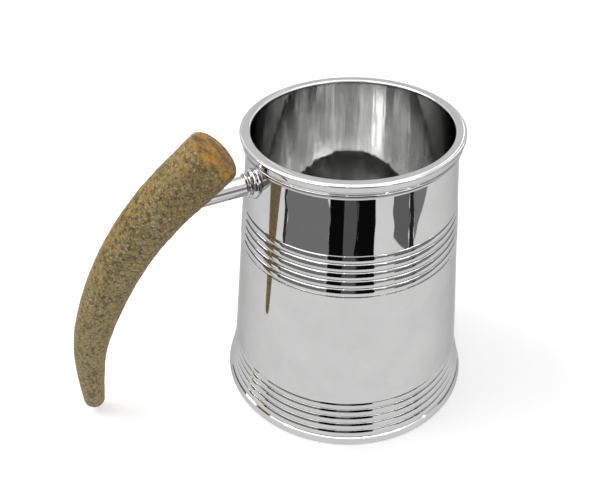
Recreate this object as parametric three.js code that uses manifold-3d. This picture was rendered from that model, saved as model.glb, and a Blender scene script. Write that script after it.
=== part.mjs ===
// A one-pint pewter tankard with an antler-tine handle on a short metal stem.
// Millimetres, +Z up. The origin is the centre of the flat underside, on the axis of the vessel.
// The stem leaves the vessel along -X, and the antler hangs from its outer end.
import * as THREE from 'three';
import { mergeVertices } from 'three/addons/utils/BufferGeometryUtils.js';
import Module from 'manifold-3d';

// Fits and facets.
const SEAM = 0.3; // gap at every soldered or glued joint
const VESSEL_SIDES = 60; // a multiple of 4, so that a corner lies on each axis
const STEM_SIDES = 32;
const ANTLER_SIDES = 28;
const ANTLER_STEPS = 34;
const BORE_OVERRUN = 12; // how far a cutting tool runs past the surface that it enters

// Vessel.
const HEIGHT = 116.5; // underside to the top of the lip
const FOOT_LINE_RADIUS = 50.6; // outside of the tapered wall, carried down to the table
const MOUTH_LINE_RADIUS = 37.4; // outside of the tapered wall, carried up to the lip
const WALL_THICKNESS = 1.4;
const REED_PITCH = 3.4;
const REED_COUNT = 5;

// Band of reeds turned in the wall.
const WAIST_REEDS_TOP_DROP = 27.6; // lip down to the top of the band
const WAIST_GROOVE_DEPTH = 0.75;
const WAIST_CREST_RISE = 0.15;

// Cast foot ring and the disc let into it.
const FOOT_FILLET_HEIGHT = 3.4; // plain edge under the lowest reed
const FOOT_REACH = 2.3; // foot at the table beyond the line of the wall
const FOOT_FLARE_POWER = 1.25;
const FOOT_GROOVE_DEPTH = 0.8;
const FOOT_EDGE_ROUND = [0.8, 0.8];
const DISC_THICKNESS = 1.8;
const DISC_SHELF = 1.0; // ledge of the foot ring over the edge of the disc

// Mouth.
const LIP_HEIGHT = 3.9;
const LIP_REACH = 2.4; // lip beyond the tapered wall
const LIP_CAP = 1.0; // lip above the edge of the wall
const LIP_SHOULDER = [1.6, 0.8]; // oval round of its upper outer edge, across and up
const LIP_UNDERCUT = 0.7; // how far its face leans inwards on the way down
const LIP_UNDER_ROUND = [0.5, 0.6]; // oval round of its lower edge
const COVE_HEIGHT = 2.5; // hollow moulding under the lip
const COVE_REACH = 1.4;
const COVE_EDGE_ROUND = [0.3, 0.4]; // oval round of its upper edge

// Stem between the wall and the antler.
const STEM_DROP = 13.2; // lip down to the stem's axis
const STEM_RADIUS = 3.5;
const STEM_REACH = 33.9; // wall to the antler's axis
const STEM_END_BEFORE_AXIS = 1;
const BOSS_LENGTH = 1.6;
const BOSS_NECK_RISE = 0.5; // end of the boss beyond the tube
const BOSS_FLANGE_RISE = 1.5; // root of the boss beyond its end
const COLLAR_WIDTH = 1.2;
const COLLAR_RISE = 0.7;
const ROD_RADIUS = 1.7;
const ROD_PAST_AXIS = 4;

// Antler.
const ANTLER_YAW = THREE.MathUtils.degToRad(23.5); // its plane, turned away from the stem's direction
const ANTLER_ROOT_RADIUS = 9.9;
const ANTLER_TIP_RADIUS = 4.4;
const ANTLER_TAPER_POWER = 2.2;
const ANTLER_ROOT_RISE = 20.5; // cut end above the stem's axis
const ANTLER_ROOT_INSET = 21.5; // cut end towards the vessel from the stem's end
const ANTLER_SPREAD = 43.6; // tip outwards from the stem's end
const ANTLER_TIP_CLEARANCE = 3; // tip above the table
const ROOT_EDGE_ROUND = 1.6;
const ROOT_CROWN = 0.7; // doming of the cut end
const TIP_EDGE_ROUND = 3.2;

const stemHeight = HEIGHT - STEM_DROP;
const wallTop = HEIGHT - LIP_CAP - SEAM;
const footEdgeRadius = FOOT_LINE_RADIUS + FOOT_REACH;
const footTop = FOOT_FILLET_HEIGHT + REED_COUNT * REED_PITCH;
const wallAtStem = wallRadius(stemHeight);
const seatReach = wallAtStem + STEM_REACH;
const bossEnd = wallAtStem + BOSS_LENGTH;
const bossNeckRadius = STEM_RADIUS + BOSS_NECK_RISE;
const bossFlangeRadius = bossNeckRadius + BOSS_FLANGE_RISE;

const pewter = new THREE.MeshStandardMaterial({ color: 0xc9c9c6, metalness: 1, roughness: 0.12 });
const castPewter = new THREE.MeshStandardMaterial({ color: 0xbdbdba, metalness: 1, roughness: 0.2 });
const steel = new THREE.MeshStandardMaterial({ color: 0x9b9b9a, metalness: 1, roughness: 0.35 });
const antler = new THREE.MeshStandardMaterial({ color: 0x6f6040, metalness: 0, roughness: 0.7 });

const wasm = await Module();
wasm.setup();

// Outside radius of the plain tapered wall at a height.
function wallRadius(height) {
  return THREE.MathUtils.lerp(FOOT_LINE_RADIUS, MOUTH_LINE_RADIUS, height / HEIGHT);
}

// Outline of the foot over the crests of its reeds: flush with the wall at the top, flared at the table.
function footRadius(height) {
  const down = Math.max(0, (footTop - height) / footTop);
  return THREE.MathUtils.lerp(wallRadius(footTop), footEdgeRadius, down ** FOOT_FLARE_POWER);
}

// Points of a run of half-round reeds, from low to high. crest and groove give radii at a height.
function reeds(low, count, crest, groove) {
  const stations = [0.07, 0.3, 0.7, 0.93];
  const points = [];
  for (let i = 0; i < count; i += 1) {
    const start = low + i * REED_PITCH;
    points.push([groove(start), start]);
    for (const u of stations) {
      const height = start + u * REED_PITCH;
      const swell = Math.sqrt(1 - (2 * u - 1) ** 2);
      points.push([THREE.MathUtils.lerp(groove(height), crest(height), swell), height]);
    }
  }
  const end = low + count * REED_PITCH;
  points.push([groove(end), end]);
  return points;
}

// Points of an oval arc, round a centre, between two angles in degrees. radii are [across, up].
function arc(centre, radii, from, to, steps) {
  const points = [];
  for (let i = 0; i <= steps; i += 1) {
    const angle = THREE.MathUtils.degToRad(from + ((to - from) * i) / steps);
    points.push([centre[0] + radii[0] * Math.cos(angle), centre[1] + radii[1] * Math.sin(angle)]);
  }
  return points;
}

// A body of revolution about +Z. The outline [radius, height] runs up the outside and back down the inside.
function turned(outline, sides) {
  const closes = outline[0][0] === 0 ? [] : [outline[0]];
  const points = [...outline, ...closes].map(([radius, height]) => new THREE.Vector2(radius, height));
  return new THREE.LatheGeometry(points, sides).rotateX(Math.PI / 2);
}

// The same, lying along -X at the stem's height. The outline's heights are distances from the vessel's axis.
function turnedOnStem(outline) {
  return turned(outline, STEM_SIDES).rotateY(-Math.PI / 2).translate(0, 0, stemHeight);
}

// A plain cylinder on the stem's axis, between two distances from the vessel's axis.
function stemCylinder(radius, from, to) {
  return turnedOnStem([[0, from], [radius, from], [radius, to], [0, to]]);
}

function toManifold(geometry) {
  const bare = geometry.clone();
  bare.deleteAttribute('normal');
  bare.deleteAttribute('uv');
  const merged = mergeVertices(bare, 1e-4);
  const vertProperties = Float32Array.from(merged.attributes.position.array);
  const triVerts = Uint32Array.from(merged.index.array);
  return new wasm.Manifold(new wasm.Mesh({ numProp: 3, vertProperties, triVerts }));
}

function subtract(geometry, ...tools) {
  const body = tools.reduce((rest, tool) => rest.subtract(toManifold(tool)), toManifold(geometry));
  const mesh = body.getMesh();
  const cut = new THREE.BufferGeometry();
  cut.setAttribute('position', new THREE.BufferAttribute(mesh.vertProperties, 3));
  cut.setIndex(new THREE.BufferAttribute(mesh.triVerts, 1));
  cut.computeVertexNormals();
  return cut;
}

// Tapered wall, with the band of reeds turned in it.
function bodyWallGeometry() {
  const low = footTop + SEAM;
  const reedsLow = HEIGHT - WAIST_REEDS_TOP_DROP - REED_COUNT * REED_PITCH;
  const crest = (height) => wallRadius(height) + WAIST_CREST_RISE;
  const groove = (height) => wallRadius(height) - WAIST_GROOVE_DEPTH;
  return turned([
    [wallRadius(low), low],
    [wallRadius(reedsLow), reedsLow - WAIST_CREST_RISE],
    ...reeds(reedsLow, REED_COUNT, crest, groove),
    [wallRadius(HEIGHT - WAIST_REEDS_TOP_DROP), HEIGHT - WAIST_REEDS_TOP_DROP + WAIST_CREST_RISE],
    [wallRadius(wallTop), wallTop],
    [wallRadius(wallTop) - WALL_THICKNESS, wallTop],
    [wallRadius(low) - WALL_THICKNESS, low],
  ], VESSEL_SIDES);
}

// Cast foot: reeded outside, tapered inside in line with the wall, rebated below for the disc.
function footRingGeometry() {
  const shelfHeight = DISC_THICKNESS + SEAM;
  const shelfRadius = wallRadius(shelfHeight) - WALL_THICKNESS;
  const groove = (height) => footRadius(height) - FOOT_GROOVE_DEPTH;
  return turned([
    [shelfRadius + DISC_SHELF, 0],
    ...arc([footEdgeRadius - FOOT_EDGE_ROUND[0], FOOT_EDGE_ROUND[1]], FOOT_EDGE_ROUND, -90, 0, 3),
    [footRadius(FOOT_FILLET_HEIGHT), FOOT_FILLET_HEIGHT - FOOT_GROOVE_DEPTH / 2],
    ...reeds(FOOT_FILLET_HEIGHT, REED_COUNT, footRadius, groove),
    [wallRadius(footTop) - WALL_THICKNESS, footTop],
    [shelfRadius, shelfHeight],
    [shelfRadius + DISC_SHELF, shelfHeight],
  ], VESSEL_SIDES);
}

// Flat floor of the vessel. Its underside is the face that the tankard stands on.
function floorDiscGeometry() {
  const radius = wallRadius(DISC_THICKNESS + SEAM) - WALL_THICKNESS + DISC_SHELF - SEAM;
  return turned([[0, 0], [radius, 0], [radius, DISC_THICKNESS], [0, DISC_THICKNESS]], VESSEL_SIDES);
}

// Lip with an undercut face, rebated to sit over the edge of the wall.
function lipBeadGeometry() {
  const low = HEIGHT - LIP_HEIGHT;
  const back = wallRadius(low) + SEAM;
  const face = wallRadius(low + LIP_HEIGHT / 2) + LIP_REACH;
  const inside = wallRadius(wallTop) - WALL_THICKNESS;
  return turned([
    [back, low],
    ...arc([face - LIP_UNDERCUT - LIP_UNDER_ROUND[0], low + LIP_UNDER_ROUND[1]], LIP_UNDER_ROUND, -90, 0, 4),
    ...arc([face - LIP_SHOULDER[0], HEIGHT - LIP_SHOULDER[1]], LIP_SHOULDER, 0, 90, 6),
    [inside + WALL_THICKNESS / 2, HEIGHT],
    [inside, HEIGHT - LIP_CAP / 2],
    [inside, HEIGHT - LIP_CAP],
    [back, HEIGHT - LIP_CAP],
  ], VESSEL_SIDES);
}

// Hollow moulding that flares from the wall to the lip.
function rimMouldingGeometry() {
  const top = HEIGHT - LIP_HEIGHT - SEAM;
  const low = top - COVE_HEIGHT;
  const edge = top - COVE_EDGE_ROUND[1];
  const cove = [0, 0.35, 0.6, 0.8].map((u) => {
    const height = THREE.MathUtils.lerp(low, edge, u);
    return [wallRadius(height) + THREE.MathUtils.lerp(2 * SEAM, COVE_REACH, u * u), height];
  });
  return turned([
    ...cove,
    ...arc([wallRadius(edge) + COVE_REACH - COVE_EDGE_ROUND[0], edge], COVE_EDGE_ROUND, 0, 90, 4),
    [wallRadius(top) + SEAM, top],
    [wallRadius(low) + SEAM, low],
  ], VESSEL_SIDES);
}

// Domed socket, saddled to the wall and drilled for the rod.
function handleBossGeometry() {
  const root = wallAtStem - bossFlangeRadius / 2;
  const edge = wallAtStem + SEAM;
  const blank = turnedOnStem([
    [0, root],
    [bossFlangeRadius, root],
    ...arc([bossNeckRadius, edge], [BOSS_FLANGE_RISE, BOSS_LENGTH - SEAM], 0, 90, 5),
    [0, bossEnd],
  ]);
  const low = stemHeight - BORE_OVERRUN;
  const high = stemHeight + BORE_OVERRUN;
  const wall = turned([
    [0, low],
    [wallRadius(low) + SEAM, low],
    [wallRadius(high) + SEAM, high],
    [0, high],
  ], VESSEL_SIDES);
  return subtract(blank, wall, stemCylinder(ROD_RADIUS + SEAM, root - 1, bossEnd + 1));
}

// Tube from the boss into the antler.
function stemTubeGeometry() {
  const from = bossEnd + SEAM;
  const to = seatReach - STEM_END_BEFORE_AXIS;
  const bore = ROD_RADIUS + SEAM;
  return turnedOnStem([[STEM_RADIUS, from], [STEM_RADIUS, to], [bore, to], [bore, from]]);
}

// Half-round ring on the tube, next to the boss.
function stemCollarGeometry() {
  const middle = bossEnd + 2 * SEAM + COLLAR_WIDTH / 2;
  const bore = STEM_RADIUS + SEAM;
  const crown = [-1, -0.5, 0.5, 1].map((u) => {
    const rise = COLLAR_RISE * Math.sqrt(1 - 0.75 * u * u);
    return [bore + rise, middle + (u * COLLAR_WIDTH) / 2];
  });
  return turnedOnStem([...crown, [bore, middle + COLLAR_WIDTH / 2], [bore, middle - COLLAR_WIDTH / 2]]);
}

// Rod that ties the boss, the tube and the antler together.
function tieRodGeometry() {
  return stemCylinder(ROD_RADIUS, wallAtStem + 2 * SEAM, seatReach + ROD_PAST_AXIS);
}

// Axis of the antler in its own plane: x is outwards, y is up, both from the stem's end.
function antlerAxis() {
  const drop = stemHeight - ANTLER_TIP_CLEARANCE;
  const below = [[0.36, 0.198], [0.66, 0.426], [0.862, 0.638], [0.959, 0.845], [1, 1]];
  const points = below.map(([out, down]) => new THREE.Vector3(out * ANTLER_SPREAD, -down * drop, 0));
  const root = new THREE.Vector3(-ANTLER_ROOT_INSET, ANTLER_ROOT_RISE, 0);
  return new THREE.CatmullRomCurve3([root, new THREE.Vector3(), ...points], false, 'centripetal');
}

// Radius of the antler at a share of its length, without its rounded ends.
function antlerRadius(share) {
  return THREE.MathUtils.lerp(ANTLER_ROOT_RADIUS, ANTLER_TIP_RADIUS, share ** ANTLER_TAPER_POWER);
}

// Outline of the antler as if it were straight: [radius, distance along the axis].
function antlerOutline(length) {
  const tipSpan = TIP_EDGE_ROUND / length;
  const rootSpan = ROOT_EDGE_ROUND / length;
  const outline = [[0, 0], [(ANTLER_ROOT_RADIUS - ROOT_EDGE_ROUND) / 2, ROOT_CROWN * 0.25]];
  const rootCentre = [antlerRadius(rootSpan) - ROOT_EDGE_ROUND, ROOT_CROWN + ROOT_EDGE_ROUND];
  outline.push(...arc(rootCentre, [ROOT_EDGE_ROUND, ROOT_EDGE_ROUND], -90, 0, 4));
  for (let i = 1; i < ANTLER_STEPS; i += 1) {
    const share = THREE.MathUtils.lerp(rootSpan * 2, 1 - tipSpan * 1.5, i / ANTLER_STEPS);
    outline.push([antlerRadius(share), share * length]);
  }
  const tipCentre = [antlerRadius(1 - tipSpan) - TIP_EDGE_ROUND, length - TIP_EDGE_ROUND];
  outline.push(...arc(tipCentre, [TIP_EDGE_ROUND, TIP_EDGE_ROUND], 0, 90, 5), [0, length]);
  return outline;
}

// The antler: a tapered round bent along its axis, drilled for the tube and the rod.
function antlerHandleGeometry() {
  const axis = antlerAxis();
  const length = axis.getLength();
  const shape = turned(antlerOutline(length), ANTLER_SIDES);
  const position = shape.attributes.position;
  const outwards = new THREE.Vector3(-Math.cos(ANTLER_YAW), Math.sin(ANTLER_YAW), 0);
  const up = new THREE.Vector3(0, 0, 1);
  const side = new THREE.Vector3().crossVectors(outwards, up);
  const seat = new THREE.Vector3(-seatReach, 0, stemHeight);
  for (let i = 0; i < position.count; i += 1) {
    const share = THREE.MathUtils.clamp(position.getZ(i) / length, 0, 1);
    const point = axis.getPointAt(share);
    const along = axis.getTangentAt(share);
    const across = position.getX(i);
    const placed = seat.clone()
      .addScaledVector(outwards, point.x + across * along.y)
      .addScaledVector(up, point.y - across * along.x)
      .addScaledVector(side, -position.getY(i));
    position.setXYZ(i, placed.x, placed.y, placed.z);
  }
  const mouth = seatReach - 2 * BORE_OVERRUN;
  const tubeBore = stemCylinder(STEM_RADIUS + SEAM, mouth, seatReach - STEM_END_BEFORE_AXIS + SEAM);
  const rodBore = stemCylinder(ROD_RADIUS + SEAM, mouth, seatReach + ROD_PAST_AXIS + SEAM);
  return subtract(shape, tubeBore, rodBore);
}

function piece(name, geometry, material) {
  const mesh = new THREE.Mesh(geometry, material);
  mesh.name = name;
  return mesh;
}

const vessel = new THREE.Group();
vessel.add(
  piece('body_wall', bodyWallGeometry(), pewter),
  piece('foot_ring', footRingGeometry(), castPewter),
  piece('floor_disc', floorDiscGeometry(), pewter),
  piece('lip_bead', lipBeadGeometry(), pewter),
  piece('rim_moulding', rimMouldingGeometry(), castPewter),
);

const handle = new THREE.Group();
handle.add(
  piece('handle_boss', handleBossGeometry(), castPewter),
  piece('stem_tube', stemTubeGeometry(), pewter),
  piece('stem_collar', stemCollarGeometry(), castPewter),
  piece('tie_rod', tieRodGeometry(), steel),
  piece('antler_handle', antlerHandleGeometry(), antler),
);

const tankard = new THREE.Group();
tankard.add(vessel, handle);

export default tankard;
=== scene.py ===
"""Looks of the pewter tankard: fine turned metal, a granular antler and a white studio."""
import math

import bpy
from mathutils import Matrix, Vector, noise


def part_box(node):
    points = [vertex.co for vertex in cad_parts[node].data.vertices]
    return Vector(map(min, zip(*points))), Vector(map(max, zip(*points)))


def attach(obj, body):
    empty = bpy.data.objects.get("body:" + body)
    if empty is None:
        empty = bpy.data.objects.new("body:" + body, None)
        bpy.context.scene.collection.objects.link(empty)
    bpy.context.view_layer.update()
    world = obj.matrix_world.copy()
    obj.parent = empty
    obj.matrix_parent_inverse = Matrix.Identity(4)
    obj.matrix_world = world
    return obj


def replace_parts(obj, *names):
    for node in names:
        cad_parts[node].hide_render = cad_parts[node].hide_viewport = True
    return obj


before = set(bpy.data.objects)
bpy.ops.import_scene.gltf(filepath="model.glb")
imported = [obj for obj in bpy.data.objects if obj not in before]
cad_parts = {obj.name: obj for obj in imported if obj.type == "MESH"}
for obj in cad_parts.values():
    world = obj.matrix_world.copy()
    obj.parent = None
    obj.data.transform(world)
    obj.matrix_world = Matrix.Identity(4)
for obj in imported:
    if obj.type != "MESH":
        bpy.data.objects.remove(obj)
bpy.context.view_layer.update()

MM = 0.001

# Facets of the fine meshes.
VESSEL_SIDES = 288
STEM_SIDES = 96
REED_STEPS = 14
CURVE_STEPS = 60
OUTLINE_STEPS = 300
ROOT_STEPS = 24
DISC_STEPS = 36
ANTLER_SIDES = 200
ANTLER_RINGS = 460
SHARP_ANGLE = math.radians(32)
ON_AXIS = 1e-7

# Sizes that the boxes of the CAD nodes don't give, as in the part's source.
SEAM = 0.3 * MM
WALL_THICKNESS = 1.4 * MM
REED_PITCH = 3.4 * MM
REED_COUNT = 5
WAIST_REEDS_TOP_DROP = 27.6 * MM
WAIST_GROOVE_DEPTH = 0.75 * MM
WAIST_CREST_RISE = 0.15 * MM
FOOT_FILLET_HEIGHT = 3.4 * MM
FOOT_FLARE_POWER = 1.25
FOOT_GROOVE_DEPTH = 0.8 * MM
FOOT_EDGE_ROUND = 0.8 * MM
DISC_SHELF = 1.0 * MM
DISC_EDGE_ROUND = 0.3 * MM
DISC_RINGS = 3
LIP_CAP = 1.0 * MM
LIP_REACH = 2.4 * MM
LIP_SHOULDER = (1.6 * MM, 0.8 * MM)
LIP_UNDERCUT = 0.7 * MM
LIP_UNDER_ROUND = (0.5 * MM, 0.6 * MM)
COVE_REACH = 1.4 * MM
COVE_EDGE_ROUND = (0.3 * MM, 0.4 * MM)
BOSS_NECK_RISE = 0.5 * MM
STEM_END_BEFORE_AXIS = 1 * MM
ANTLER_YAW = math.radians(23.5)
ANTLER_ROOT_RADIUS = 9.9 * MM
ANTLER_TIP_RADIUS = 4.4 * MM
ANTLER_TAPER_POWER = 2.2
ANTLER_ROOT_RISE = 20.5 * MM
ANTLER_ROOT_INSET = 21.5 * MM
ANTLER_SPREAD = 43.6 * MM
ANTLER_TIP_CLEARANCE = 3 * MM
ANTLER_BELOW = ((0.36, 0.198), (0.66, 0.426), (0.862, 0.638), (0.959, 0.845), (1, 1))

# Relief of the metal, over the wave that each kind of metal is given.
BORE_WAVE = 2.5
SCRATCH_DEPTH = 0.0006 * MM
GRAZING_TINT = (0.62, 0.62, 0.62, 1)

# Looks of the antler's skin, which stays within the CAD solid.
GRAIN_RELIEF = 0.35 * MM
OCHRE_RIM = 7 * MM
SKIN_DEPTH = 0.35 * MM
ROOT_EDGE_ROUND = 1.6 * MM
TIP_EDGE_ROUND = 3.4 * MM
ROOT_CROWN = 0.7 * MM

# Light that the floor shows to the camera and to the metal, over what falls on it.
FLOOR_GLOW = 0.3
FLOOR_IN_METAL = 0.82
FLOOR_HALF_WIDTH = 3.0
CARD_DISTANCE = 195 * MM
ROOM_TOP = 150 * MM
PERSON_TOP = 210 * MM
GAP_TOP = 100 * MM
WINDOW_LOW = 160 * MM
WINDOW_TOP = 620 * MM
WINDOW_LEVEL = 1.9
MIRROR_BOUNCES = 12  # inside the vessel, light meets the polished wall many times

# Camera.
FOCAL_LENGTH = 41.28
SHIFT = (0.0357, 0.0905)
CAMERA_PLACE = (-0.1102, -0.1953, 0.2344)
CAMERA_PITCH = math.radians(42.29)
CAMERA_ROLL = math.radians(-2.75)
STEM_BEARING = math.radians(22)

# Places taken from the frame.
lip_low, lip_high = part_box("lip_bead")
wall_low, wall_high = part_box("body_wall")
_, foot_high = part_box("foot_ring")
_, disc_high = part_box("floor_disc")
moulding_low, moulding_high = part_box("rim_moulding")
stem_low, stem_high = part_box("stem_tube")
collar_low, collar_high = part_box("stem_collar")
boss_low, boss_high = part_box("handle_boss")

HEIGHT = lip_high.z
FOOT_TOP = foot_high.z
STEM_HEIGHT = (stem_low.z + stem_high.z) / 2
SEAT_X = stem_low.x - STEM_END_BEFORE_AXIS
LIP_MIDDLE = (lip_low.z + lip_high.z) / 2
WALL_SLOPE = (wall_high.x - (lip_high.x - LIP_REACH)) / (LIP_MIDDLE - wall_low.z)
FOOT_LINE_RADIUS = wall_high.x + WALL_SLOPE * wall_low.z


def mix(a, b, share):
    return a + (b - a) * share


def wall_radius(height):
    """Outside radius of the plain tapered wall."""
    return FOOT_LINE_RADIUS - WALL_SLOPE * height


def foot_radius(height):
    """Outline of the foot over the crests of its reeds."""
    down = max(0.0, (FOOT_TOP - height) / FOOT_TOP)
    return mix(wall_radius(FOOT_TOP), foot_high.x, down ** FOOT_FLARE_POWER)


def reeds(low, crest, groove):
    """Outline of a band of half-round reeds, from low to high."""
    points = []
    for index in range(REED_COUNT):
        for step in range(REED_STEPS + 1):
            turn = math.pi * step / REED_STEPS
            height = low + REED_PITCH * (index + (1 - math.cos(turn)) / 2)
            points.append((mix(groove(height), crest(height), math.sin(turn) ** 0.9), height))
    return points


def arc(centre, radii, first, last, steps):
    """Points of an oval arc between two angles in degrees."""
    points = []
    for step in range(steps + 1):
        angle = math.radians(mix(first, last, step / steps))
        points.append((centre[0] + radii[0] * math.cos(angle), centre[1] + radii[1] * math.sin(angle)))
    return points


def turned(outline, sides, closes=True):
    """Vertices and faces of a body turned about +Z from an outline of (radius, height)."""
    rings, vertices, faces = [], [], []
    for radius, height in outline:
        count = 1 if radius < ON_AXIS else sides
        rings.append([len(vertices) + i for i in range(count)])
        for i in range(count):
            angle = 2 * math.pi * i / sides
            vertices.append(Vector((radius * math.cos(angle), radius * math.sin(angle), height)))
    if closes and outline[0][0] > ON_AXIS:
        rings.append(rings[0])
    for low, high in zip(rings, rings[1:]):
        for i in range(sides):
            j = (i + 1) % sides
            if len(low) == 1:
                faces.append((low[0], high[j], high[i]))
            elif len(high) == 1:
                faces.append((low[i], low[j], high[0]))
            else:
                faces.append((low[i], low[j], high[j], high[i]))
    return vertices, faces


def piece(name, vertices, faces, material, slot, *nodes):
    """A smooth mesh that rides on the one body and stands for CAD nodes."""
    mesh = bpy.data.meshes.new(name)
    mesh.from_pydata(vertices, [], faces)
    mesh.materials.append(material)
    mesh.shade_smooth()
    mesh.set_sharp_from_angle(angle=SHARP_ANGLE)
    made = bpy.data.objects.new(name, mesh)
    bpy.context.scene.collection.objects.link(made)
    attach(made, "root")
    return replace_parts(made, *nodes)


def along_stem(points):
    """Turns points from +Z to -X, at the stem's height."""
    return [Vector((-p.z, p.y, p.x + STEM_HEIGHT)) for p in points]


class Nodes:
    """A short way to write a node tree."""

    def __init__(self, tree):
        self.tree = tree
        tree.nodes.clear()

    def add(self, kind, inputs=None, **settings):
        made = self.tree.nodes.new(kind)
        for key, value in settings.items():
            setattr(made, key, value)
        for key, value in (inputs or {}).items():
            if isinstance(value, bpy.types.NodeSocket):
                self.tree.links.new(value, made.inputs[key])
            else:
                made.inputs[key].default_value = value
        return made

    def math(self, operation, *values, clamp=False):
        made = self.add("ShaderNodeMath", dict(enumerate(values)), operation=operation, use_clamp=clamp)
        return made.outputs[0]

    def noise(self, vector, scale, detail=2.0, roughness=0.5):
        inputs = {"Vector": vector, "Scale": scale, "Detail": detail, "Roughness": roughness}
        return self.add("ShaderNodeTexNoise", inputs).outputs["Fac"]

    def spread(self, value, low, high, to_low=0.0, to_high=1.0):
        inputs = {"Value": value, 1: low, 2: high, 3: to_low, 4: to_high}
        return self.add("ShaderNodeMapRange", inputs).outputs[0]

    def blend(self, factor, first, second, mode="MIX"):
        inputs = {"Factor": factor, 6: first, 7: second}
        return self.add("ShaderNodeMix", inputs, data_type="RGBA", blend_type=mode).outputs[2]

    def stretch(self, vector, scale):
        return self.add("ShaderNodeMapping", {"Vector": vector, "Scale": scale}).outputs[0]


def shade(name):
    """A new material and the node writer of its tree."""
    material = bpy.data.materials.new(name)
    material.use_nodes = True
    return material, Nodes(material.node_tree)


def metal(name, colour, roughness, wave):
    """Polished metal: slow waves, wiping marks, fine scratches and, down the bore, lengthwise strokes."""
    material, nodes = shade(name)
    texture = nodes.add("ShaderNodeTexCoord")
    place, normal = texture.outputs["Object"], texture.outputs["Normal"]
    slow = nodes.noise(nodes.stretch(place, (1, 1, 0.7)), 42, 1.0)
    clouds = nodes.noise(place, 75, 3.0, 0.6)
    rings = nodes.noise(nodes.stretch(place, (60, 60, 9000)), 1.0, 2.0)
    tint = nodes.blend(nodes.spread(clouds, 0.35, 0.7), (*[c * 0.93 for c in colour], 1), (*colour, 1))
    marks = nodes.math("MULTIPLY", nodes.spread(clouds, 0.45, 0.8), nodes.spread(rings, 0.3, 0.8))
    gloss = nodes.spread(marks, 0.0, 1.0, roughness, roughness * 2.2)
    facing = nodes.add("ShaderNodeVectorMath", {0: place, 1: normal}, operation="DOT_PRODUCT")
    bore = nodes.spread(facing.outputs["Value"], -5 * MM, -10 * MM)
    strokes = nodes.noise(nodes.stretch(place, (230, 230, 5)), 1.0, 2.0)
    strokes = nodes.math("MULTIPLY", strokes, nodes.math("MULTIPLY", bore, BORE_WAVE))
    height = nodes.math("ADD", slow, strokes)
    waves = nodes.add("ShaderNodeBump", {"Strength": 1.0, "Distance": wave, "Height": height})
    fine = nodes.add("ShaderNodeBump", {
        "Strength": 0.35, "Distance": SCRATCH_DEPTH, "Height": rings, "Normal": waves.outputs[0]})
    surface = nodes.add("ShaderNodeBsdfPrincipled", {
        "Base Color": tint, "Metallic": 1.0, "Roughness": gloss, "Normal": fine.outputs[0],
        "Specular Tint": GRAZING_TINT})
    nodes.add("ShaderNodeOutputMaterial", {"Surface": surface.outputs[0]})
    return material


def antler_material():
    """Granular olive-brown horn: dark pits, light specks, ochre edges and a mottled, porous cut end."""
    material, nodes = shade("stag_antler")
    place = nodes.add("ShaderNodeTexCoord").outputs["Object"]
    face = nodes.add("ShaderNodeAttribute", attribute_name="cut_face").outputs["Fac"]
    edge = nodes.add("ShaderNodeAttribute", attribute_name="edge_tone").outputs["Fac"]
    down = nodes.add("ShaderNodeAttribute", attribute_name="down_share").outputs["Fac"]
    broad = nodes.noise(place, 95, 3.0, 0.55)
    grain = nodes.noise(place, 620, 4.0, 0.75)
    pebble = nodes.add("ShaderNodeTexVoronoi", {"Vector": place, "Scale": 800.0}).outputs["Distance"]
    speck = nodes.noise(place, 1300, 3.0, 0.7)

    skin = nodes.blend(nodes.spread(broad, 0.36, 0.64), (0.205, 0.150, 0.045, 1), (0.275, 0.220, 0.095, 1))
    skin = nodes.blend(nodes.spread(down, 0.1, 0.9, 0.0, 0.7), skin, (0.315, 0.255, 0.120, 1))
    ochre = nodes.math("MULTIPLY", edge, nodes.spread(broad, 0.36, 0.60, 0.35, 1.0))
    skin = nodes.blend(nodes.math("MULTIPLY", ochre, 0.8), skin, (0.36, 0.215, 0.035, 1))
    dark = nodes.spread(grain, 0.55, 0.40, 0.0, 0.88)
    skin = nodes.blend(dark, skin, (0.062, 0.042, 0.011, 1))
    light = nodes.spread(speck, 0.55, 0.68, 0.0, 0.7)
    skin = nodes.blend(light, skin, (0.58, 0.49, 0.30, 1))

    marrow = nodes.noise(place, 260, 3.0, 0.7)
    core = nodes.blend(nodes.spread(marrow, 0.42, 0.60), (0.150, 0.098, 0.030, 1), (0.480, 0.230, 0.025, 1))
    pores = nodes.spread(nodes.math("ADD", grain, pebble), 0.62, 0.85, 0.85, 0.0)
    core = nodes.blend(pores, core, (0.070, 0.040, 0.012, 1))
    colour = nodes.blend(face, skin, core)

    height = nodes.math("ADD", nodes.math("MULTIPLY", grain, 0.6), nodes.math("MULTIPLY", pebble, 0.4))
    bump = nodes.add("ShaderNodeBump", {"Strength": 0.8, "Distance": GRAIN_RELIEF, "Height": height})
    gloss = nodes.spread(grain, 0.35, 0.7, 0.42, 0.68)
    surface = nodes.add("ShaderNodeBsdfPrincipled", {
        "Base Color": colour, "Roughness": gloss, "Normal": bump.outputs[0], "Specular IOR Level": 0.35})
    nodes.add("ShaderNodeOutputMaterial", {"Surface": surface.outputs[0]})
    return material


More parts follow.
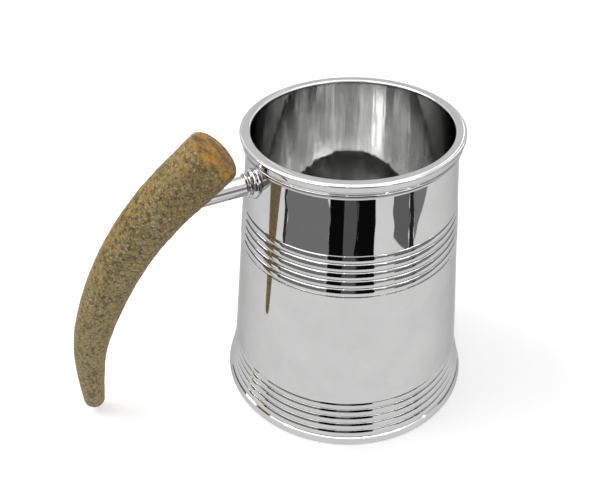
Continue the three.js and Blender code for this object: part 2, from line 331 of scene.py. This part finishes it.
def make_wall(material):
    reeds_low = HEIGHT - WAIST_REEDS_TOP_DROP - REED_COUNT * REED_PITCH
    reeds_high = HEIGHT - WAIST_REEDS_TOP_DROP
    low, top = FOOT_TOP + SEAM / 8, wall_high.z
    outline = [
        (wall_radius(low) - SEAM, low),
        (wall_radius(low + SEAM), low + SEAM),
        (wall_radius(reeds_low), reeds_low - WAIST_CREST_RISE),
        *reeds(
            reeds_low,
            lambda height: wall_radius(height) + WAIST_CREST_RISE,
            lambda height: wall_radius(height) - WAIST_GROOVE_DEPTH),
        (wall_radius(reeds_high), reeds_high + WAIST_CREST_RISE),
        (wall_radius(top), top),
        (wall_radius(top) - WALL_THICKNESS, top),
        (wall_radius(low) - WALL_THICKNESS, low),
    ]
    return piece("vessel_wall", *turned(outline, VESSEL_SIDES), material, "polished_pewter", "body_wall")


def make_foot(material):
    shelf = disc_high.z + SEAM
    inside = wall_radius(shelf) - WALL_THICKNESS
    outline = [
        (inside + DISC_SHELF, 0),
        *arc((foot_high.x - FOOT_EDGE_ROUND, FOOT_EDGE_ROUND), (FOOT_EDGE_ROUND,) * 2, -90, 0, 8),
        (foot_radius(FOOT_FILLET_HEIGHT), FOOT_FILLET_HEIGHT - FOOT_GROOVE_DEPTH / 2),
        *reeds(FOOT_FILLET_HEIGHT, foot_radius, lambda height: foot_radius(height) - FOOT_GROOVE_DEPTH),
        (wall_radius(FOOT_TOP) - WALL_THICKNESS, FOOT_TOP),
        (inside, shelf),
        (inside + DISC_SHELF, shelf),
    ]
    return piece("vessel_foot", *turned(outline, VESSEL_SIDES), material, "cast_pewter", "foot_ring")


def make_floor_disc(material):
    """The floor, whose underside carries the shallow rings that turning leaves."""
    radius = disc_high.x + SEAM * 0.7
    top = disc_high.z + SEAM * 0.7
    shares = [step / DISC_STEPS for step in range(1, DISC_STEPS)]
    ripple = 2 * math.pi * DISC_RINGS
    underside = [(radius * share, SEAM * (1 - math.cos(ripple * share)) / 4) for share in shares]
    outline = [
        (0, 0),
        *underside,
        (radius - DISC_EDGE_ROUND, 0),
        (radius, DISC_EDGE_ROUND),
        (radius, top),
        (0, top),
    ]
    return piece("vessel_floor", *turned(outline, VESSEL_SIDES), material, "polished_pewter", "floor_disc")


def make_lip(material):
    low = lip_low.z
    back = wall_radius(low) + SEAM / 8
    face = lip_high.x
    inside = wall_radius(wall_high.z) - WALL_THICKNESS
    under = (face - LIP_UNDERCUT - LIP_UNDER_ROUND[0], low + LIP_UNDER_ROUND[1])
    shoulder = (face - LIP_SHOULDER[0], HEIGHT - LIP_SHOULDER[1])
    inner_round = (WALL_THICKNESS / 2, LIP_CAP * 0.6)
    outline = [
        *arc(under, LIP_UNDER_ROUND, -90, 0, 10),
        *[(face - LIP_UNDERCUT * (1 - (step / 10) ** 0.7), mix(under[1], shoulder[1], step / 10))
          for step in range(1, 10)],
        *arc(shoulder, LIP_SHOULDER, 0, 90, 18),
        *arc((inside + inner_round[0], HEIGHT - inner_round[1]), inner_round, 90, 180, 9),
        (inside, HEIGHT - LIP_CAP),
        (back, HEIGHT - LIP_CAP),
        (back, low),
    ]
    return piece("vessel_lip", *turned(outline, VESSEL_SIDES), material, "polished_pewter", "lip_bead")


def make_moulding(material):
    """A hollow that flares from the wall to the lip."""
    low, high = moulding_low.z, moulding_high.z
    edge = high - COVE_EDGE_ROUND[1]
    top = lip_low.z
    cove = []
    for step in range(20):
        height = mix(low, edge, step / 20)
        cove.append((wall_radius(height) + COVE_REACH * (step / 20) ** 2, height))
    crown = (wall_radius(edge) + COVE_REACH - COVE_EDGE_ROUND[0], edge)
    outline = [
        *cove,
        *arc(crown, COVE_EDGE_ROUND, 0, 90, 12),
        (crown[0] - SEAM, high),
        (crown[0] - SEAM, top),
        (wall_radius(top) - SEAM, top),
        (wall_radius(low) - SEAM, low),
    ]
    return piece("rim_moulding_fine", *turned(outline, VESSEL_SIDES), material, "cast_pewter", "rim_moulding")


def make_stem(material):
    radius = stem_high.z - STEM_HEIGHT
    near, far = -boss_low.x, -stem_low.x
    outline = [
        (0, near - SEAM),
        (radius - SEAM, near - SEAM),
        (radius, near),
        *[(radius, mix(near, far, step / 12)) for step in range(1, 12)],
        (radius, far - SEAM),
        (radius - SEAM, far),
        (0, far),
    ]
    vertices, faces = turned(outline, STEM_SIDES)
    return piece("stem", along_stem(vertices), faces, material, "polished_pewter", "stem_tube")


def make_collar(material):
    middle = -(collar_low.x + collar_high.x) / 2
    half = (collar_high.x - collar_low.x) / 2
    bore = stem_high.z - STEM_HEIGHT - SEAM / 8
    rise = collar_high.z - STEM_HEIGHT - bore
    outline = arc((bore, middle), (rise, half), -90, 90, 20)
    vertices, faces = turned(outline, STEM_SIDES)
    return piece("stem_ring", along_stem(vertices), faces, material, "cast_pewter", "stem_collar")


def make_boss(material):
    """A domed socket whose back is let into the curve of the wall."""
    root = wall_radius(STEM_HEIGHT)
    end = -boss_low.x
    neck = stem_high.z - STEM_HEIGHT + BOSS_NECK_RISE
    dome = arc((neck, root), (boss_high.y - neck, end - root), 0, 88, 16)
    outline = [(0, root), (boss_high.y, root), *dome, (neck - SEAM, end), (0, end)]
    vertices, faces = turned(outline, STEM_SIDES)
    placed = along_stem(vertices)
    for point in placed[:1 + STEM_SIDES]:
        saddle = wall_radius(point.z) - WALL_THICKNESS / 3
        point.x = -math.sqrt(saddle ** 2 - point.y ** 2)
    return piece("stem_socket", placed, faces, material, "cast_pewter", "handle_boss")


def catmull_rom(points, steps):
    """Points of a centripetal Catmull-Rom curve, evenly spaced along its length."""
    ends = [points[0] * 2 - points[1], *points, points[-1] * 2 - points[-2]]
    dense = []
    for a, b, c, d in zip(ends, ends[1:], ends[2:], ends[3:]):
        knots = [0.0]
        for first, second in ((a, b), (b, c), (c, d)):
            knots.append(knots[-1] + math.sqrt((second - first).length))
        for step in range(CURVE_STEPS):
            t = mix(knots[1], knots[2], step / CURVE_STEPS)
            level = [a, b, c, d]
            for depth in (1, 2, 3):
                level = [
                    mix(level[i], level[i + 1], slide(t, knots, i, depth))
                    for i in range(4 - depth)]
            dense.append(level[0])
    dense.append(points[-1])
    reach = [0.0]
    for first, second in zip(dense, dense[1:]):
        reach.append(reach[-1] + (second - first).length)
    even, at = [], 0
    for step in range(steps + 1):
        wanted = reach[-1] * step / steps
        while at < len(reach) - 2 and reach[at + 1] < wanted:
            at += 1
        even.append(mix(dense[at], dense[at + 1], (wanted - reach[at]) / (reach[at + 1] - reach[at])))
    return even, reach[-1]


def slide(t, knots, index, depth):
    """Blend factor of the Barry-Goldman pyramid, whose lowest level is depth 1."""
    if depth == 1:
        low, high = knots[index], knots[index + 1]
    elif depth == 2:
        low, high = knots[index], knots[index + 2]
    else:
        low, high = knots[1], knots[2]
    return (t - low) / (high - low)


def antler_axis():
    """The antler's axis as (outwards, up) from the stem's end, and its length."""
    drop = STEM_HEIGHT - ANTLER_TIP_CLEARANCE
    points = [Vector((-ANTLER_ROOT_INSET, ANTLER_ROOT_RISE)), Vector((0, 0))]
    points += [Vector((out * ANTLER_SPREAD, -down * drop)) for out, down in ANTLER_BELOW]
    return catmull_rom(points, ANTLER_RINGS)


def antler_outline(length):
    """Radius and place along the axis, with finely rounded ends."""
    def radius(share):
        return mix(ANTLER_ROOT_RADIUS, ANTLER_TIP_RADIUS, share ** ANTLER_TAPER_POWER) - SKIN_DEPTH

    root_depth = ROOT_CROWN + ROOT_EDGE_ROUND
    root_span, tip_span = root_depth / length, TIP_EDGE_ROUND / length
    root_centre = radius(root_span) - ROOT_EDGE_ROUND
    outline = [
        (root_centre * step / ROOT_STEPS, ROOT_CROWN * (step / ROOT_STEPS) ** 2)
        for step in range(ROOT_STEPS)]
    outline += arc((root_centre, root_depth), (ROOT_EDGE_ROUND,) * 2, -90, 0, 12)
    for step in range(1, OUTLINE_STEPS):
        share = mix(root_span, 1 - tip_span, step / OUTLINE_STEPS)
        outline.append((radius(share), share * length))
    tip_centre = radius(1 - tip_span) - TIP_EDGE_ROUND
    outline += arc((tip_centre, length - TIP_EDGE_ROUND), (TIP_EDGE_ROUND,) * 2, 0, 90, 20)
    outline.append((0, length))
    return outline


def antler_swell(point, along, share):
    """How far the skin stands from its middle surface: long flutes, lumps and pebbles."""
    flutes = noise.noise(Vector((point.x * 260, point.y * 260, along * 28)))
    lumps = noise.noise(point * 130)
    pebbles = noise.fractal(point * 620, 0.9, 2.1, 3)
    worn = mix(1.0, 0.55, share)
    return SKIN_DEPTH * worn * max(-1.0, min(1.0, 0.5 * flutes + 0.45 * lumps + 0.42 * pebbles))


def make_antler(material):
    axis, length = antler_axis()
    outline = antler_outline(length)
    straight, faces = turned(outline, ANTLER_SIDES)
    outwards = Vector((-math.cos(ANTLER_YAW), math.sin(ANTLER_YAW), 0))
    up = Vector((0, 0, 1))
    side = outwards.cross(up)
    seat = Vector((SEAT_X, 0, STEM_HEIGHT))
    vertices, face_tone, edge_tone, down_share = [], [], [], []
    for point in straight:
        share = max(0.0, min(1.0, point.z / length))
        radius = math.hypot(point.x, point.y)
        at = share * ANTLER_RINGS
        low = min(int(at), ANTLER_RINGS - 1)
        centre = mix(axis[low], axis[low + 1], at - low)
        tangent = (axis[min(low + 2, ANTLER_RINGS)] - axis[max(low - 1, 0)]).normalized()
        swell = antler_swell(point, point.z, share)
        grow = 1 + swell / max(radius, 2 * MM) if radius > ON_AXIS else 1
        across, deep = point.x * grow, point.y * grow
        flat = ROOT_CROWN + ROOT_EDGE_ROUND * 0.5
        sink = swell * 0.8 if point.z < flat else 0.0
        centre = centre + tangent * sink
        vertices.append(
            seat
            + outwards * (centre.x + across * tangent.y)
            + up * (centre.y - across * tangent.x)
            + side * -deep)
        face_tone.append(max(0.0, min(1.0, (flat * 1.3 - point.z) / (flat * 0.6))))
        rim = max(0.0, 1 - point.z / OCHRE_RIM)
        edge_tone.append(max(rim, abs(point.x) / max(radius, MM) if radius > MM else 0) ** 2)
        down_share.append(share)
    made = piece("antler", vertices, faces, material, "antler", "antler_handle")
    for name, values in (("cut_face", face_tone), ("edge_tone", edge_tone), ("down_share", down_share)):
        made.data.attributes.new(name, "FLOAT", "POINT").data.foreach_set("value", values)
    return made


def make_steel():
    """Plain drawn steel, for the rod that nobody sees."""
    material, nodes = shade("drawn_steel")
    place = nodes.add("ShaderNodeTexCoord").outputs["Object"]
    draw = nodes.noise(nodes.stretch(place, (200, 4000, 4000)), 1.0, 2.0)
    gloss = nodes.spread(draw, 0.3, 0.7, 0.25, 0.42)
    surface = nodes.add("ShaderNodeBsdfPrincipled", {
        "Base Color": (0.45, 0.45, 0.45, 1), "Metallic": 1.0, "Roughness": gloss})
    nodes.add("ShaderNodeOutputMaterial", {"Surface": surface.outputs[0]})
    return material


def place_camera():
    """The photograph's viewpoint: pitched and rolled, then turned by the stem's bearing."""
    level = Vector((1, 0, 0))
    rise = Vector((0, math.sin(CAMERA_PITCH), math.cos(CAMERA_PITCH)))
    ahead = Vector((0, math.cos(CAMERA_PITCH), -math.sin(CAMERA_PITCH)))
    right = level * math.cos(CAMERA_ROLL) + rise * math.sin(CAMERA_ROLL)
    above = rise * math.cos(CAMERA_ROLL) - level * math.sin(CAMERA_ROLL)
    turn = Matrix.Rotation(-STEM_BEARING, 3, "Z")
    columns = Matrix((turn @ right, turn @ above, turn @ -ahead)).transposed()
    data = bpy.data.cameras.new("camera")
    data.lens, data.sensor_width = FOCAL_LENGTH, 36
    data.shift_x, data.shift_y = SHIFT
    data.clip_start, data.clip_end = 0.01, 20
    made = bpy.data.objects.new("camera", data)
    bpy.context.scene.collection.objects.link(made)
    made.matrix_world = Matrix.Translation(CAMERA_PLACE) @ columns.to_4x4()
    bpy.context.scene.camera = made


def place_floor():
    material, nodes = shade("studio_floor")
    path = nodes.add("ShaderNodeLightPath").outputs
    paint = nodes.add("ShaderNodeBsdfDiffuse", {"Color": (0.86, 0.86, 0.86, 1)})
    even = nodes.add("ShaderNodeEmission", {"Strength": FLOOR_IN_METAL})
    glow = nodes.add("ShaderNodeEmission", {
        "Strength": nodes.math("MULTIPLY", path["Is Camera Ray"], FLOOR_GLOW)})
    both = nodes.add("ShaderNodeAddShader", {0: paint.outputs[0], 1: glow.outputs[0]})
    seen = nodes.add("ShaderNodeMixShader", {
        0: path["Is Glossy Ray"], 1: both.outputs[0], 2: even.outputs[0]})
    nodes.add("ShaderNodeOutputMaterial", {"Surface": seen.outputs[0]})
    half = FLOOR_HALF_WIDTH
    mesh = bpy.data.meshes.new("studio_floor")
    corners = [(-half, -half, 0), (half, -half, 0), (half, half, 0), (-half, half, 0)]
    mesh.from_pydata(corners, [], [(0, 1, 2, 3)])
    mesh.materials.append(material)
    made = bpy.data.objects.new("studio_floor", mesh)
    bpy.context.scene.collection.objects.link(made)


def place_card(name, bearings, low, high, level, ragged=0.0):
    """An upright curved card that only reflections show. low gives its lower edge at both ends."""
    material, nodes = shade(name)
    glow = nodes.add("ShaderNodeEmission", {"Color": (1, 1, 1, 1), "Strength": level})
    nodes.add("ShaderNodeOutputMaterial", {"Surface": glow.outputs[0]})
    columns, rows = 12, 24
    vertices, faces = [], []
    for column in range(columns + 1):
        across = column / columns
        for row in range(rows + 1):
            height = mix(mix(*low, across), high, row / rows)
            wander = ragged * noise.noise(Vector((height * 90, bearings[0], across)))
            bearing = math.radians(mix(*bearings, across) + wander) - math.pi / 2 - STEM_BEARING
            vertices.append((CARD_DISTANCE * math.cos(bearing), CARD_DISTANCE * math.sin(bearing), height))
    for column in range(columns):
        for row in range(rows):
            first = column * (rows + 1) + row
            faces.append((first, first + rows + 1, first + rows + 2, first + 1))
    mesh = bpy.data.meshes.new(name)
    mesh.from_pydata(vertices, [], faces)
    mesh.materials.append(material)
    made = bpy.data.objects.new(name, mesh)
    bpy.context.scene.collection.objects.link(made)
    made.visible_camera = made.visible_diffuse = made.visible_shadow = False


def place_world():
    """White to the camera and to diffuse light; to the metal, a studio with bright windows and dark gaps."""
    world = bpy.data.worlds.new("studio")
    bpy.context.scene.world = world
    world.use_nodes = True
    nodes = Nodes(world.node_tree)
    way = nodes.add("ShaderNodeTexCoord").outputs["Generated"]
    parts = nodes.add("ShaderNodeSeparateXYZ", {0: way}).outputs
    level = nodes.add("ShaderNodeCombineXYZ", {0: parts[0], 1: parts[1]}).outputs[0]
    bearing = nodes.add("ShaderNodeVectorMath", {0: level}, operation="NORMALIZE").outputs[0]
    gaps = nodes.noise(bearing, 4.6, 4.0, 0.65)
    windows = nodes.spread(gaps, 0.56, 0.61, 0.75, 5.0)
    windows = nodes.math("ADD", windows, nodes.spread(parts[2], 0.75, 0.95, 0.0, 1.2))
    rise = nodes.spread(parts[2], 0.25, 0.45)
    sky = nodes.math("ADD", nodes.math("MULTIPLY", nodes.math("SUBTRACT", 1.0, rise), 0.9),
                     nodes.math("MULTIPLY", windows, rise))
    path = nodes.add("ShaderNodeLightPath").outputs
    plain = nodes.math("MAXIMUM", path["Is Camera Ray"], nodes.math("MULTIPLY", path["Is Diffuse Ray"], 0.75))
    direct = nodes.math("MAXIMUM", path["Is Camera Ray"], path["Is Diffuse Ray"])
    inverse = nodes.math("SUBTRACT", 1.0, direct)
    strength = nodes.math("ADD", plain, nodes.math("MULTIPLY", sky, inverse))
    light = nodes.add("ShaderNodeBackground", {"Color": (1, 1, 1, 1), "Strength": strength})
    nodes.add("ShaderNodeOutputWorld", {"Surface": light.outputs[0]})


def place_lamp(name, place, target, size, power):
    data = bpy.data.lights.new(name, "AREA")
    data.shape, data.size, data.size_y, data.energy = "RECTANGLE", size[0], size[1], power
    made = bpy.data.objects.new(name, data)
    bpy.context.scene.collection.objects.link(made)
    made.location = place
    made.rotation_euler = (Vector(target) - Vector(place)).to_track_quat("-Z", "Y").to_euler()


bright = metal("polished_pewter_fine", (0.74, 0.74, 0.735), 0.035, 0.05 * MM)
cast = metal("cast_pewter_fine", (0.72, 0.72, 0.715), 0.045, 0.02 * MM)
worn = metal("floor_pewter_fine", (0.80, 0.80, 0.795), 0.17, 0.05 * MM)
make_wall(bright)
make_foot(cast)
make_floor_disc(worn)
make_lip(bright)
make_moulding(cast)
make_stem(bright)
make_collar(cast)
make_boss(cast)
make_antler(antler_material())
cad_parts["tie_rod"].data.materials[0] = make_steel()

place_floor()
place_world()
place_lamp("key", (-0.45, 0.30, 0.75), (0, 0, 0.05), (0.5, 0.5), 3.0)

# Each card: bearings in degrees from the camera, its lower edge at both ends, its top and its brightness.
place_card("dark_room_edge", (-69, -66), (0, 0), ROOM_TOP, 0.03, 4.0)
place_card("dark_room", (-66, -24), (0, 0), ROOM_TOP, 0.20, 4.0)
place_card("photographer_arm", (-24, -11), (0, 0), PERSON_TOP, 0.004)
place_card("photographer_middle", (-11, 2), (0, 0), PERSON_TOP, 0.10)
place_card("photographer", (0, 17), (0, 0), PERSON_TOP, 0.004, 3.0)
place_card("dark_gap_left", (34, 50), (22 * MM, 6 * MM), GAP_TOP, 0.14, 3.0)
place_card("dark_gap_middle", (50, 55), (4 * MM, 8 * MM), GAP_TOP, 0.02, 1.0)
place_card("dark_gap_right", (55, 76), (10 * MM, 50 * MM), GAP_TOP, 0.22, 3.0)
place_card("far_wall_left", (-120, -69), (55 * MM, 55 * MM), ROOM_TOP, 0.12)
place_card("far_wall_right", (17, 120), (60 * MM, 60 * MM), ROOM_TOP, 0.22)
place_card("window_left", (-94, -69), (WINDOW_LOW, WINDOW_LOW), WINDOW_TOP, WINDOW_LEVEL)
place_card("window_right", (-62, -27), (WINDOW_LOW, WINDOW_LOW), WINDOW_TOP, WINDOW_LEVEL)

place_camera()
bpy.context.scene.view_settings.view_transform = "Standard"
bpy.context.scene.cycles.glossy_bounces = MIRROR_BOUNCES
